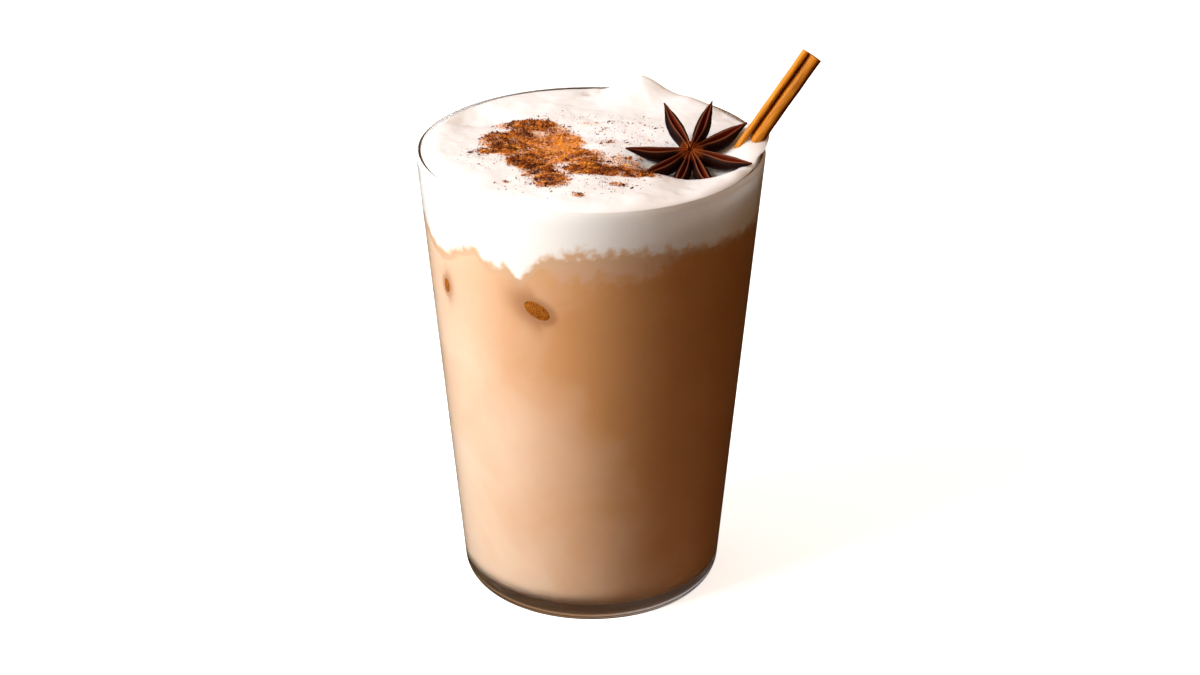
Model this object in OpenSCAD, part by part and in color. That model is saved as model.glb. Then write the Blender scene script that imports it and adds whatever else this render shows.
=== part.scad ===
// Masala chai in a tall glass: layered tea, milk foam, star anise and a
// cinnamon stick that leans on the rim. Millimetres, +Z up. The origin is the
// centre of the glass's foot, and -Y is the front.

/* [Glass] */
// Height of the glass
glass_h = 116; // [96:1:150]
// Outer diameter at the rim
rim_d = 85; // [78:1:102]
// Outer diameter at the foot, where the straight side would meet the table
foot_d = 63.8; // [52:0.2:76]
// Wall thickness at the rim
rim_wall = 1.8; // [1.2:0.1:2.6]
// Wall thickness at the foot
foot_wall = 2.6; // [1.8:0.1:4]
// Thickness of the glass under the drink
floor_t = 5; // [3:0.5:10]
// Radius of the rounded outer heel
heel_r = 6; // [3:0.5:9]
// Radius of the rounded inner corner
corner_r = 5; // [2:0.5:9]

/* [Chai] */
// Height of the tea under the foam, above the table, at its mean level
chai_level = 102; // [70:1:106]
// How far the two milk tongues hang down into the tea
tongue_drop = 6.5; // [0:0.5:9]
// Gap between the contents and the glass
fit_gap = 0.05; // [0.02:0.01:0.2]

/* [Foam] */
// Height of the foam's middle above the rim
foam_rise = 0.8; // [-2:0.1:4]
// Depth below the rim at which the foam meets the glass
foam_edge_drop = 3; // [1:0.5:8]
// Width of the foam's rounded shoulder
shoulder_w = 5; // [3:0.5:9]

/* [Cinnamon stick] */
// Length of the stick
stick_l = 78; // [60:1:90]
// Length of the stick beyond the point where it touches the rim
stick_out = 26.5; // [15:0.5:40]
// Outer radius of the small roll
roll_a = 1.35; // [1.1:0.05:1.8]
// Outer radius of the large roll
roll_b = 1.75; // [1.3:0.05:2.4]
// Thickness of the bark
bark_t = 0.6; // [0.4:0.05:0.7]
// Lean from the vertical, in degrees
stick_lean = 37; // [25:1:45]
// Direction of the lean, in degrees from +X towards +Y
stick_dir = 18; // [0:1:30]
// Where the stick crosses the rim, in degrees from +X
stick_cross = -3.5; // [-10:0.5:20]
// Gap round the stick, and between it and the rim
stick_gap = 0.15; // [0.05:0.05:0.4]

/* [Star anise] */
// Length of an arm from the middle
arm_l = 15.7; // [12:0.1:16]
// Width of an arm at its widest
arm_w = 4.6; // [3:0.1:5.5]
// Depth of an arm from its lips to its keel
arm_d = 5.2; // [3:0.1:6]
// Tilt of the face towards the front, in degrees
star_tilt = 25; // [0:1:40]
// Height of the star's middle above the rim
star_rise = 2.5; // [1:0.5:6]
// How far the star's arms reach over the strip of the mouth that the stick takes
star_lap = 5.3; // [0:0.1:5.3]
// Distance of the star's middle from the glass's axis, towards -Y
star_y = 7.1; // [0:0.1:12]
// Gap between the star and the foam round it
star_gap = 0.1; // [0.05:0.05:0.3]

/* [Hidden] */

// Number of sides of a round piece of glass, and of the contents in it
round_n = 96;
sector_n = 48;
// Steps in the arc of a heel, corner or rim
arc_n = 6;

// Gap between the stick's two rolls, and half the stick's width over both
groove_gap = 0.1;
stick_half_w = roll_a + roll_b + groove_gap / 2;

// ---------------------------------------------------------------- glass

// Radius of the straight outer and inner sides at a height
function out_r(z) = (foot_d + (rim_d - foot_d) * z / glass_h) / 2;
function wall_t(z) = foot_wall + (rim_wall - foot_wall) * z / glass_h;
function in_r(z) = out_r(z) - wall_t(z);

// Lean of each side from the vertical
out_lean = atan((out_r(glass_h) - out_r(0)) / glass_h);
in_lean = atan((in_r(glass_h) - in_r(0)) / glass_h);

// An arc from a level floor round into a leaning side: side_r is the side's
// radius at the height of the arc's centre
function corner_arc(side_r, lean, z, r) = [
    for (i = [0:arc_n]) let (a = -90 + (90 - lean) * i / arc_n)
        [side_r - r / cos(lean) + r * cos(a), z + r + r * sin(a)]];

// Inside profile, moved inwards by a gap
function inside_arc(gap) =
    corner_arc(in_r(floor_t + gap + corner_r) - gap, in_lean, floor_t + gap, corner_r);

rim_r = rim_wall / 2;
rim_z = glass_h - rim_r;
rim_ring_r = out_r(rim_z) - rim_r;

function rim_arc() = [
    for (i = [0:arc_n]) let (a = -out_lean + (180 + out_lean - in_lean) * i / arc_n)
        [rim_ring_r + rim_r * cos(a), rim_z + rim_r * sin(a)]];

function reversed(list) = [for (i = [len(list) - 1:-1:0]) list[i]];

module glass() {
    color([0.85, 0.9, 0.9, 0.35])
        rotate_extrude($fn = round_n)
            polygon(concat(
                [[0, 0]],
                corner_arc(out_r(heel_r), out_lean, 0, heel_r),
                rim_arc(),
                reversed(inside_arc(0)),
                [[0, floor_t]]));
}

// -------------------------------------------------- contents of the glass

function clamp01(t) = max(0, min(1, t));
function smooth(t) = let (c = clamp01(t)) c * c * (3 - 2 * c);
// Smallest turn from azimuth b to azimuth a, in degrees
function turn(a, b) = ((a - b + 540) % 360) - 180;
function bell(t) = exp(-t * t);

// Azimuths run from +X towards +Y, so the front is at 270
front_az = 270;

// The line on the glass where tea meets foam: two tongues of milk hang down
// at the front left, and the line sinks a little round the right side
tongue_az = [front_az - 62, front_az - 27];
tongue_w = [15, 9];
right_sink = 2;
line_wave = 0.6;
line_waves = 5;
function line_z(az) =
    chai_level
    - tongue_drop * max(bell(turn(az, tongue_az[0]) / tongue_w[0]),
                        bell(turn(az, tongue_az[1]) / tongue_w[1]))
    - right_sink * bell(turn(az, 0) / 45)
    + line_wave * sin(line_waves * az);

// A point of the sheet between tea and foam, at a share of the radius
sheet_rings = 4;
function sheet_point(az, share) =
    let (z = chai_level + (line_z(az) - chai_level) * share * share,
         r = (in_r(line_z(az)) - fit_gap) * share)
        [r * cos(az), r * sin(az), z];

function sector_az(i) = 360 * i / sector_n;
function ring_at(r, z) = [for (i = [0:sector_n - 1]) [r * cos(sector_az(i)), r * sin(sector_az(i)), z]];
function sheet_ring(k) = [for (i = [0:sector_n - 1]) sheet_point(sector_az(i), k / sheet_rings)];

// Two triangles of the patch between points a and b of a ring of n points
// and the points above them, cut along one diagonal or the other
function patch(a, b, n, crossed) = crossed
    ? [[a, a + n, b + n], [a, b + n, b]]
    : [[a, a + n, b], [b, a + n, b + n]];

// Faces of a closed body made of stacked rings between two end points: the
// first point is the bottom's middle and the last one the top's. The lowest
// patches may be crossed, so that they match those of the body beneath
function ring_faces(rings, crossed_rings) = concat(
    [for (i = [0:sector_n - 1]) [0, 1 + i, 1 + (i + 1) % sector_n]],
    [for (k = [0:rings - 2], i = [0:sector_n - 1])
        let (a = 1 + k * sector_n + i, b = 1 + k * sector_n + (i + 1) % sector_n)
            each patch(a, b, sector_n, k < crossed_rings)],
    [for (i = [0:sector_n - 1])
        let (base = 1 + (rings - 1) * sector_n)
            [base + i, 1 + rings * sector_n, base + (i + 1) % sector_n]]);

module ring_body(bottom, rings, top, crossed_rings = 0) {
    polyhedron(
        points = concat([bottom], [for (ring = rings, p = ring) p], [top]),
        faces = ring_faces(len(rings), crossed_rings),
        convexity = 6);
}

module chai_body() {
    ring_body(
        [0, 0, floor_t + fit_gap],
        concat(
            [for (p = inside_arc(fit_gap)) ring_at(p[0], p[1])],
            [for (k = [sheet_rings:-1:1]) sheet_ring(k)]),
        [0, 0, chai_level]);
}

// Inside radius of the rim, and the place of the star's middle, which sets
// the hollow that the star has pressed into the foam
mouth_r = in_r(glass_h);
star_x = mouth_r - 2 * stick_half_w - arm_l + star_lap;

// Each swell or hollow of the foam's top: direction, distance from the axis
// as a share of the mouth's radius, height and spread
foam_swells = [
    [70, 0.92, 5.2, 7],
    [47, 0.9, 1.6, 7],
    [8, 0.94, 2.5, 5],
    [124, 0.18, -1.2, 9],
    [143, 0.86, -2.4, 8],
    [209, 0.7, 0.8, 8],
    [270, 0.69, 0.6, 10]];
// The hollow under the star, and the lip pushed up in front of it
star_swells = [
    [star_x, -star_y, -2.8, 8],
    [star_x, -star_y - 1.08 * arm_l, 1, 5]];
swell_places = concat(
    [for (s = foam_swells)
        [s[1] * mouth_r * cos(s[0]), s[1] * mouth_r * sin(s[0]), s[2], s[3]]],
    star_swells);

// Height of the line where the foam meets the glass: it climbs beside the
// stick, where the foam is heaped over the rim, and sinks at the back left
edge_wave = 0.5;
stick_heap = 4.2;
stick_heap_w = 13;
back_sink = 1.6;
back_az = 140;
back_w = 30;
function edge_z(az) =
    glass_h - foam_edge_drop + edge_wave * sin(3 * az + 40)
    + stick_heap * bell(turn(az, stick_cross + 10) / stick_heap_w)
    - back_sink * bell(turn(az, back_az) / back_w);

function swell_at(x, y, s) = s[2] * bell(norm([x - s[0], y - s[1]]) / s[3]);
function swells(x, y, i = 0) =
    i == len(swell_places) ? 0 : swell_at(x, y, swell_places[i]) + swells(x, y, i + 1);

function foam_z(x, y, az) =
    let (edge = edge_z(az),
         inward = clamp01((in_r(edge) - fit_gap - norm([x, y])) / shoulder_w),
         shoulder = sqrt(1 - (1 - inward) * (1 - inward)))
        edge + (glass_h + foam_rise + swells(x, y) - edge) * shoulder;

// Rings of the foam's top, closer together on the shoulder
foam_shares = [1, 0.992, 0.975, 0.95, 0.91, 0.85, 0.77, 0.68, 0.58, 0.47, 0.35, 0.23, 0.11];
function foam_point(az, share) =
    let (r = (in_r(edge_z(az)) - fit_gap) * share, x = r * cos(az), y = r * sin(az))
        [x, y, foam_z(x, y, az)];

module foam_body() {
    ring_body(
        [0, 0, chai_level],
        concat(
            [for (k = [1:sheet_rings]) sheet_ring(k)],
            [for (share = foam_shares) [for (i = [0:sector_n - 1]) foam_point(sector_az(i), share)]]),
        [0, 0, foam_z(0, 0, 0)],
        crossed_rings = sheet_rings - 1);
}

// A boolean of faceted bodies is kept as one mesh: zero keeps each size
module one_mesh() {
    resize([0, 0, 0]) children();
}

module chai() {
    color([0.83, 0.62, 0.44])
        one_mesh() difference() {
            chai_body();
            stick_space();
        }
}

module foam() {
    color([0.98, 0.96, 0.93])
        one_mesh() difference() {
            foam_body();
            stick_space();
            star_body(star_gap);
        }
}

// -------------------------------------------------------- cinnamon stick

// The bark curls up from both edges into a small and a large roll, and the
// groove between them faces the front
curl_a = 235;
curl_b = 400;
curl_step = 20;

// Middle line of the bark from the back of a roll round its outside and in:
// side is -1 for the left roll and 1 for the right one
function curl(roll, sweep, side) =
    let (cx = side * (stick_half_w - roll), steps = ceil(sweep / curl_step))
        [for (i = [0:steps])
            let (turned = sweep * i / steps,
                 r = roll - bark_t / 2 - (bark_t + groove_gap) * turned / 360,
                 a = 90 - side * turned)
                [cx + r * cos(a), r * sin(a)]];

bark_line = concat(reversed(curl(roll_a, curl_a, -1)), curl(roll_b, curl_b, 1));

// Unit normal of a line at point i, from its neighbours
function line_normal(line, i) =
    let (before = line[max(0, i - 1)], after = line[min(len(line) - 1, i + 1)],
         d = after - before)
        [-d[1], d[0]] / norm(d);

function band(line, t) = concat(
    [for (i = [0:len(line) - 1]) line[i] + line_normal(line, i) * t / 2],
    [for (i = [len(line) - 1:-1:0]) line[i] - line_normal(line, i) * t / 2]);

// The stick lies on the rounded rim: from the rim's ring to the stick's axis
// it is the rim's radius, the gap and the large roll's reach that way
stick_axis = [sin(stick_lean) * cos(stick_dir), sin(stick_lean) * sin(stick_dir), cos(stick_lean)];
rim_touch = [rim_ring_r * cos(stick_cross), rim_ring_r * sin(stick_cross), rim_z];
rim_tangent = [-sin(stick_cross), cos(stick_cross), 0];
touch_normal = cross(stick_axis, rim_tangent) / norm(cross(stick_axis, rim_tangent));
stick_across = [cos(stick_lean) * cos(stick_dir), cos(stick_lean) * sin(stick_dir), -sin(stick_lean)];
stick_reach = roll_b + (stick_half_w - roll_b) * abs(touch_normal * stick_across);
stick_at = rim_touch + touch_normal * sign(touch_normal[2]) * (stick_reach + rim_r + stick_gap);

module stick_placed() {
    translate(stick_at)
        rotate([0, stick_lean, stick_dir])
            translate([0, 0, stick_out - stick_l])
                children();
}

module cinnamon_stick() {
    color([0.72, 0.42, 0.16])
        stick_placed()
            linear_extrude(height = stick_l)
                polygon(band(bark_line, bark_t));
}

// The room that the stick takes up in the tea and the foam
module stick_space() {
    stick_placed()
        translate([0, 0, -stick_gap])
            linear_extrude(height = stick_l)
                hull() {
                    for (side = [-1, 1]) {
                        roll = side < 0 ? roll_a : roll_b;
                        translate([side * (stick_half_w - roll), 0])
                            circle(r = roll + stick_gap, $fn = 16);
                    }
                }
}

// ------------------------------------------------------------ star anise

// Each arm: direction in the star's face, and length and width as shares
arms = [
    [-21, 0.99, 1.02],
    [30, 1.01, 1.12],
    [70, 1.02, 0.95],
    [113, 1, 1],
    [182, 1, 0.92],
    [218, 0.96, 0.95],
    [254, 0.97, 0.9],
    [290, 0.96, 0.95]];
// Places along an arm, as shares of its length
arm_stations = [0.1, 0.19, 0.29, 0.4, 0.51, 0.62, 0.73, 0.84, 0.93, 1];
// Thickness left at the tip, and how far the tip turns up
tip_t = 0.5;
tip_up = 0.6;
// Narrowest width at the middle and the slit's width, as shares of the width
root_share = 0.25;
slit_share = 0.34;
// The middle where the arms grow together, and the hollow in it
hub_r = 4.2;
hub_lip = 0.1;
eye_d = 1.4;
eye_w = 3;

function arm_half_w(t, w) = tip_t / 2 + (w - tip_t) / 2
    * (root_share * (1 - t) + (1 - root_share * (1 - t)) * pow(sin(180 * pow(t, 1.1)), 1.4));
function arm_depth(t) = tip_t + (arm_d - tip_t) * (1 - pow(t, 2.2)) * (0.78 + 0.22 * sin(180 * t));
function arm_top(t) = tip_up * t * t;

// Cross-section at a share of the length: open slit, two lips, full sides
// and a keel, as [across, up]
function arm_ring(t, w, grow) =
    let (half = arm_half_w(t, w) + grow,
         d = arm_depth(t) + grow,
         top = arm_top(t) + grow,
         slit = slit_share * half,
         slit_d = grow > 0 ? 0 : 0.4 * d * sin(180 * clamp01(t)))
        [[0, top - slit_d], [-slit, top], [-0.62 * half, top - 0.02 * d], [-half, top - 0.36 * d],
         [-0.72 * half, top - 0.72 * d], [0, top - d], [0.72 * half, top - 0.72 * d],
         [half, top - 0.36 * d], [0.62 * half, top - 0.02 * d], [slit, top]];

ring_n = 10;
module arm(l, w, grow) {
    stations = len(arm_stations);
    points = [
        for (t = arm_stations, p = arm_ring(t, w, grow))
            [t * l + (t == 1 ? grow : 0), p[0], p[1]]];
    faces = concat(
        [[for (i = [0:ring_n - 1]) i]],
        [for (k = [0:stations - 2], i = [0:ring_n - 1])
            each patch(k * ring_n + i, k * ring_n + (i + 1) % ring_n, ring_n, false)],
        [[for (i = [ring_n - 1:-1:0]) (stations - 1) * ring_n + i]]);
    polyhedron(points = points, faces = faces, convexity = 4);
}

module star_body(grow) {
    translate([star_x, -star_y, glass_h + star_rise])
        rotate([star_tilt, 0, 0])
            difference() {
                union() {
                    for (a = arms)
                        rotate([0, 0, a[0]])
                            arm(arm_l * a[1], arm_w * a[2], grow);
                    translate([0, 0, -arm_d - grow])
                        cylinder(h = arm_d + hub_lip + 2 * grow,
                                 r1 = 0.8 * hub_r + grow, r2 = hub_r + grow, $fn = 16);
                }
                if (grow == 0)
                    translate([0, 0, hub_lip - eye_d])
                        cylinder(h = 2 * eye_d, d1 = 0, d2 = 2 * eye_w, $fn = 12);
            }
}

module star_anise() {
    color([0.3, 0.12, 0.07])
        one_mesh() star_body(0);
}

glass();
chai();
foam();
cinnamon_stick();
star_anise();
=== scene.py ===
"""A glass of iced masala chai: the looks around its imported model, laid out as a Blender add-on that is
run as a script. It makes the tumbler, the milky tea, the ice, the milk foam, the ground cinnamon, the
cinnamon quill and the star anise. Lengths are in metres: MM turns a millimetre into them."""

import functools
import math

import bmesh
import bpy
import numpy as np
from bpy.props import FloatProperty, FloatVectorProperty, IntProperty, PointerProperty
from bpy.types import Operator, Panel, PropertyGroup
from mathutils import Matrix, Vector, noise
from mathutils.bvhtree import BVHTree


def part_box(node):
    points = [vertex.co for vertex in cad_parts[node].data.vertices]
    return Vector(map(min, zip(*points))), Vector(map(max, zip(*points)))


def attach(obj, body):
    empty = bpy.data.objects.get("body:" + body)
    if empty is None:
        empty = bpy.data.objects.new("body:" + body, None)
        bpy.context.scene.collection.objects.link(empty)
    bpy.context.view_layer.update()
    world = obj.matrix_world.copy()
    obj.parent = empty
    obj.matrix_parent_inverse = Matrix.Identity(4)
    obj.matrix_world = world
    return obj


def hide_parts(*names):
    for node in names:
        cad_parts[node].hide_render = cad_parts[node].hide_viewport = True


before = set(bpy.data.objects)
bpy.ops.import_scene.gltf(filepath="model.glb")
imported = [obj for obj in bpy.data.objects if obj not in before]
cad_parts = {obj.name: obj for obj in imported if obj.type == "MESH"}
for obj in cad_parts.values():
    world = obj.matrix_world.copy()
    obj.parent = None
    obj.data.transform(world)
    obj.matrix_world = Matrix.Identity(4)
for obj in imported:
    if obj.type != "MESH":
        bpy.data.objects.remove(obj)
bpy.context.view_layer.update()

bl_info = {
    "name": "Masala Chai Glass",
    "version": (1, 0, 0),
    "blender": (4, 5, 0),
    "location": "3D View > Sidebar > Chai",
    "description": "Dresses the packed model of a glass of iced masala chai",
    "category": "Object",
}

MM = 0.001
BODY = "root"
SEED = 11


# ------------------------------------------------------------------ colours and small helpers


def linear(code):
    """A hex sRGB colour, such as "#C98A4B", as linear red, green and blue."""
    channels = [int(code[i:i + 2], 16) / 255 for i in (1, 3, 5)]
    return tuple(c / 12.92 if c <= 0.04045 else ((c + 0.055) / 1.055) ** 2.4 for c in channels)


def length(name, millimetres, description):
    """A length property with its default given in millimetres."""
    return FloatProperty(name=name, description=description, default=millimetres * MM,
                         min=0, unit="LENGTH", precision=5)


def number(name, default, low, description):
    """A whole number property with its default and its least value."""
    return IntProperty(name=name, description=description, default=default, min=low)


def power(name, watts, description):
    """A power property with its default in watts."""
    return FloatProperty(name=name, description=description, default=watts, min=0, unit="POWER")


def paint(name, code, description):
    """A colour property with its default given as a hex code."""
    return FloatVectorProperty(name=name, description=description, default=linear(code),
                               min=0, max=1, subtype="COLOR")


def angle(name, degrees, description):
    """An angle property with its default given in degrees."""
    return FloatProperty(name=name, description=description, default=math.radians(degrees),
                         subtype="ANGLE", unit="ROTATION")


def smooth(t):
    """Eases from 0 to 1 as t goes from 0 to 1."""
    t = np.clip(t, 0, 1)
    return t * t * (3 - 2 * t)


def bell(t):
    """A bell curve, 1 at 0."""
    return np.exp(-np.square(t))


def turn(a, b):
    """The smallest turn from azimuth b to azimuth a, in degrees."""
    return (np.asarray(a) - b + 540) % 360 - 180


def rotated(a, b, turned):
    """A pair of coordinates turned by an angle in radians."""
    cos, sin = np.cos(turned), np.sin(turned)
    return a * cos - b * sin, a * sin + b * cos


def lifted(az, bells):
    """Sum of bell-shaped lifts round the glass, each with its direction, height and spread in degrees."""
    return sum(height * bell(turn(az, middle) / spread) for middle, height, spread in bells)


def azimuths(count):
    """Directions round the axis in degrees, from +X towards +Y."""
    return np.arange(count) * 360 / count


def round_points(r, az, z):
    """Points at a distance from the axis, a direction and a height."""
    r, az, z = np.broadcast_arrays(r, np.radians(az), z)
    return np.stack([r * np.cos(az), r * np.sin(az), z], axis=-1)


def rough(points, size, octaves=3, seed=0):
    """Fractal noise at each point, about -1 to 1, with its largest lumps of the given size."""
    shift = Vector((7.3, 3.1, 5.7)) * seed
    places = np.asarray(points, float).reshape(-1, 3) / size
    values = [noise.fractal(Vector(p) + shift, 1.0, 2.0, octaves) for p in places]
    return np.array(values).reshape(np.shape(points)[:-1])


# ------------------------------------------------------------------ measures from the frame


def search_tree(points, faces):
    """A tree of a surface, to find it with rays or from points near it."""
    return BVHTree.FromPolygons([Vector(p) for p in points], faces)


def mesh_tree(mesh):
    return search_tree([v.co for v in mesh.vertices], [p.vertices[:] for p in mesh.polygons])


class GlassShape:
    """The glass's straight sides, floor and rim, measured on its CAD node. The sides are measured at two
    heights, clear of the floor and of the rim."""

    def __init__(self):
        tree = mesh_tree(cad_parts["glass"].data)
        self.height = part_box("glass")[1].z
        self.low, self.high = 0.3 * self.height, 0.85 * self.height
        in_wall = 0.5 * MM
        self.inner = [self.ray(tree, z, 0) for z in (self.low, self.high)]
        self.outer = [self.ray(tree, z, r + in_wall) for z, r in zip((self.low, self.high), self.inner)]
        self.floor = tree.ray_cast(Vector((0, 0, self.low)), Vector((0, 0, -1)))[0].z

    def ray(self, tree, z, start):
        """Distance from the axis of the first surface along +X from a start."""
        return tree.ray_cast(Vector((start, 0, z)), Vector((1, 0, 0)))[0].x

    def along(self, pair, z):
        """A radius of the straight side at a height, from the two measured ones."""
        return pair[0] + (pair[1] - pair[0]) * (z - self.low) / (self.high - self.low)

    def inner_r(self, z):
        return self.along(self.inner, z)

    def outer_r(self, z):
        return self.along(self.outer, z)

    def lean(self, pair):
        """The side's lean from the vertical, in radians."""
        return math.atan((pair[1] - pair[0]) / (self.high - self.low))


GLASS = GlassShape()
MOUTH_R = GLASS.inner_r(GLASS.height)
STAR_MIDDLE = sum(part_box("star_anise"), Vector()) / 2


def corner_arc(side_r, lean, z, r, steps):
    """Radius and height of points on an arc from a level floor round into a leaning side."""
    turned = np.linspace(-math.pi / 2, -lean, steps)
    return np.stack([side_r - r / math.cos(lean) + r * np.cos(turned), z + r + r * np.sin(turned)], 1)


# ------------------------------------------------------------------ meshes


def new_piece(name, points, faces, attributes=None, material=None, sharp=None):
    """A mesh object from points and faces, with a number or a vector per point for each attribute.
    Edges sharper than the sharp angle stay sharp."""
    mesh = bpy.data.meshes.new(name)
    mesh.from_pydata([tuple(p) for p in points], [], faces)
    mesh.validate()
    mesh.polygons.foreach_set("use_smooth", [True] * len(mesh.polygons))
    if sharp is not None:
        mesh.set_sharp_from_angle(angle=math.radians(sharp))
    for key, values in (attributes or {}).items():
        values = np.asarray(values, np.float32)
        if values.ndim > 1:
            kind, field = "FLOAT_VECTOR", "vector"
        else:
            kind, field = "FLOAT", "value"
        mesh.attributes.new(key, kind, "POINT").data.foreach_set(field, values.ravel())
    piece = bpy.data.objects.new(name, mesh)
    bpy.context.scene.collection.objects.link(piece)
    if material:
        mesh.materials.append(material)
    return piece


def ring_faces(rings, sides):
    """Faces of a closed body of stacked rings, with an end point before and after them."""
    faces = [(0, 1 + (i + 1) % sides, 1 + i) for i in range(sides)]
    for k in range(rings - 1):
        low = 1 + k * sides
        for i in range(sides):
            j = (i + 1) % sides
            faces.append((low + i, low + j, low + sides + j, low + sides + i))
    last = 1 + (rings - 1) * sides
    faces += [(last + i, last + (i + 1) % sides, last + sides) for i in range(sides)]
    return faces


def ring_piece(name, rings, ends, material, attributes=None, sharp=None):
    """A closed piece from an array of rings between two end points. An attribute's values are given
    for the rings, and each end takes its nearest ring's mean."""
    count, sides = rings.shape[:2]
    points = np.vstack([ends[0], rings.reshape(-1, 3), ends[1]])
    padded = {
        key: np.concatenate([[values[0].mean()], values.ravel(), [values[-1].mean()]])
        for key, values in (attributes or {}).items()
    }
    return new_piece(name, points, ring_faces(count, sides), padded, material, sharp)


def lathe(name, profile, sides, material, sharp=None):
    """A closed piece turned from a profile of radius and height, whose ends lie on the axis."""
    middle = profile[1:-1]
    rings = round_points(middle[:, :1], azimuths(sides), middle[:, 1:])
    ends = [(0, 0, profile[0][1]), (0, 0, profile[-1][1])]
    return ring_piece(name, rings, ends, material, sharp=sharp)


def weld(piece):
    """Joins the points of a piece that lie in the same place and turns its faces outward."""
    mesh = bmesh.new()
    mesh.from_mesh(piece.data)
    bmesh.ops.remove_doubles(mesh, verts=mesh.verts, dist=0.001 * MM)
    bmesh.ops.recalc_face_normals(mesh, faces=mesh.faces)
    mesh.to_mesh(piece.data)
    mesh.free()


def dress(piece, node):
    """The piece stands for a CAD node and moves with its body."""
    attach(piece, BODY)
    if node:
        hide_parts(node)


# ------------------------------------------------------------------ shader nodes


def add_node(tree, kind, inputs=None, stops=None, **settings):
    """Adds a shader node of a kind named without its ShaderNode. inputs gives each socket a value, or the
    output or the node that feeds it, and stops gives a ramp its places and colours."""
    made = tree.nodes.new("ShaderNode" + kind)
    for key, value in settings.items():
        setattr(made, key, value)
    for key, value in (inputs or {}).items():
        socket = made.inputs[key]
        if isinstance(value, bpy.types.Node):
            value = next(output for output in value.outputs if output.enabled)
        if isinstance(value, bpy.types.NodeSocket):
            tree.links.new(value, socket)
        elif socket.type == "RGBA":
            socket.default_value = (*value, 1)
        else:
            socket.default_value = value
    if stops:
        ramp = made.color_ramp
        while len(ramp.elements) < len(stops):
            ramp.elements.new(0.5)
        for element, (place, colour) in zip(ramp.elements, stops):
            element.position = place
            element.color = (*colour, 1)
    return made


def new_material(name):
    """A material with an empty node tree, and add_node for that tree."""
    material = bpy.data.materials.new(name)
    material.use_nodes = True
    material.node_tree.nodes.clear()
    return material, functools.partial(add_node, material.node_tree)


# ------------------------------------------------------------------ settings


class GlassSettings(PropertyGroup):
    heel: length("Heel radius", 6, "Radius of the rounded outer heel")
    corner: length("Corner radius", 5, "Radius of the rounded inner corner")
    wall: length("Rim wall", 1.8, "Thickness of the wall at the rim, which is half round")
    sides: number("Sides", 256, 32, "Facets round the glass")
    tint: paint("Glass tint", "#FAFAF8", "Faint colour of the clear glass")
    reach: length("Contents' reach", 0.12, "How far the contents reach into the wall")


class TeaSettings(PropertyGroup):
    level: length("Level", 102, "Mean height of the tea under the foam")
    wave: length("Edge wave", 0.45, "Raggedness of the line between tea and foam")
    sides: number("Sides", 600, 48, "Facets round the tea")
    # The strong and creamy tea colours also stand for painted shade and painted light on the tea's two
    # sides
    strong_and_shaded: paint("Strong tea", "#CC9454", "Tea where little milk has reached")
    middle: paint("Milky tea", "#DAA673", "Tea with most of the milk stirred in")
    milky: paint("Creamy tea", "#F0DAC4", "Tea where the milk is thickest")
    froth: paint("Froth", "#DDB898", "Beige froth between tea and foam")
    halo: paint("Thin tea", "#A8744E", "Tea so thin over the ice that it looks dark")


class IceSettings(PropertyGroup):
    edge: length("Edge", 27, "Edge of the half melted cube")
    round: length("Rounding", 5, "Radius of its rounded edges")
    dark: paint("Deep ice", "#5E300C", "Tea seen through the cracks of the ice")
    light: paint("Ice crackle", "#B06A24", "Light caught in the ice's cracks")


class FoamSettings(PropertyGroup):
    rise: length("Rise", 0.8, "Height of the foam's middle above the rim")
    edge_drop: length("Edge drop", 1.6, "Depth below the rim at which the foam meets the glass")
    shoulder: length("Shoulder", 5, "Width of the foam's rounded shoulder")
    sides: number("Sides", 480, 48, "Facets round the foam")
    rings: number("Rings", 150, 20, "Rings of the foam's top")
    white: paint("Foam", "#FCFBFA", "White of the milk foam")
    low: paint("Lower foam", "#DDB792", "Cream of the foam's tea-stained underside")
    stain: paint("Stain", "#F29A2C", "Foam stained by the cinnamon on it")


class PowderSettings(PropertyGroup):
    fine_count: number("Fine grains", 15000, 1, "How many fine grains")
    coarse_count: number("Shreds", 1700, 1, "How many coarse shreds")
    fine: length("Fine grain", 0.29, "Mean width of a fine grain")
    coarse: length("Shred", 0.5, "Mean length of a coarse shred")
    dark: paint("Dark grains", "#4A1C04", "The darkest cinnamon")
    mid: paint("Brown grains", "#B65E16", "Most of the cinnamon")
    light: paint("Light grains", "#FFAE3C", "The brightest cinnamon")


class QuillSettings(PropertyGroup):
    bark: length("Bark thickness", 0.6, "Thickness of the rolled bark")
    gap: length("Roll gap", 0.1, "Gap between the turns of a roll")
    small: FloatProperty(name="Small roll", description="Small roll's share of the quill's width",
                         default=0.34, min=0.25, max=0.5, subtype="FACTOR")
    # The dark bark also stands for painted shade in the groove and on the quill's shaded side
    dark: paint("Dark bark", "#6A2608", "Bark in the groove and between the fibres")
    light: paint("Light bark", "#FFA41E", "Bark in the open")


class StarSettings(PropertyGroup):
    arm: length("Arm length", 15.7, "Length of an arm from the middle")
    width: length("Arm width", 4.1, "Width of an arm at its widest")
    depth: length("Arm depth", 5.2, "Depth of an arm from its lips to its keel")
    tilt: angle("Tilt", 25, "Tilt of the face towards the front")
    husk: paint("Husk", "#220A05", "Dark brown outside of the arms")
    lip: paint("Lips", "#8C5236", "Lighter lips of the slits")
    slit: paint("Slit", "#5E1C0C", "Red brown inside of the slits")
    root: paint("Roots", "#A2501C", "Orange brown roots of the arms")


class StudioSettings(PropertyGroup):
    key: power("Key light", 6.1, "Power of the soft box at the left")
    back: power("Back light", 0.4, "Power of the soft box behind")
    floor: paint("Floor", "#F7F6F4", "Pale plain floor")
    window: paint("Window side", "#BABCC6", "Bright side of the room, to the left")
    room: paint("Room", "#A88260", "Dim warm side of the room, to the right")
    elevation: angle("Camera elevation", 25.23, "Height of the view above the horizontal")
    distance: length("Camera distance", 750, "Distance of the camera from the glass")


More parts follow.
